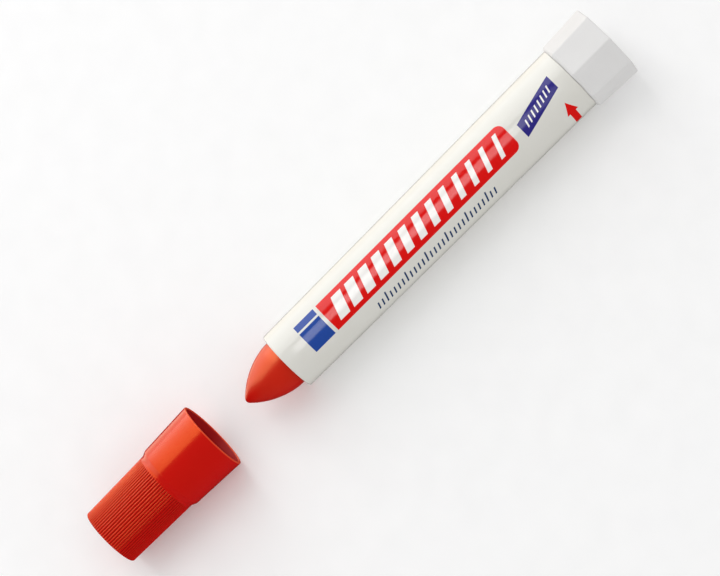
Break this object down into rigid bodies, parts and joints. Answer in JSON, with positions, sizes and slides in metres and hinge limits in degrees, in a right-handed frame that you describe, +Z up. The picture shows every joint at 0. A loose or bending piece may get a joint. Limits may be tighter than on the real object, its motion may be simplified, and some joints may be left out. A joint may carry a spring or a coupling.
{
  "type": "industrial paint marker",
  "caption": "Twist-up solid-paint marker: tapered tube, eight-sided turning knob, bullet paint tip and a ribbed push-on cap lying in line in front of it.",
  "frame": {"origin": "On the surface that the marker lies on, below the axis, midway between the cap's closed end and the knob's rear face", "axes": "+X along the marker's axis from the cap towards the knob, +Z up, +Y to the left when looking along +X"},
  "size_m": [0.1958, 0.022, 0.0221],
  "materials": {
    "barrel_white": "smooth moulded, semi-gloss, with printed fields",
    "knob_white": "smooth moulded, satin",
    "inner_white": "as moulded",
    "seal_rubber": "soft black",
    "solid_paint": "waxy solid paint, satin",
    "cap_red": "smooth moulded, semi-gloss, fine ribs on the small end"
  },
  "bodies": {
    "barrel": {"barrel": "barrel_white"},
    "knob": {"knob": "knob_white", "spindle": "inner_white", "seal_ring": "seal_rubber"},
    "stick": {"carrier": "inner_white", "paint_stick": "solid_paint"},
    "cap": {"cap": "cap_red"}
  },
  "joints": [
    {"name": "knob_turn", "type": "hinge", "parent": "barrel", "child": "knob", "pos_m": [0.09055, 0, 0.01105], "axis": [-1, 0, 0], "range_deg": [0, 4320]},
    {"name": "stick_feed", "type": "slide", "parent": "barrel", "child": "stick", "axis": [-1, 0, 0], "range_m": [0, 0.072], "deforming": ["paint_stick"]},
    {"name": "cap_pull", "type": "slide", "parent": "barrel", "child": "cap", "axis": [1, 0, 0], "range_m": [0, 0.0458]}
  ],
  "couplings": [
    {"joint": "stick_feed", "follows": "knob_turn", "m_per_rad": 0.00095493}
  ]
}
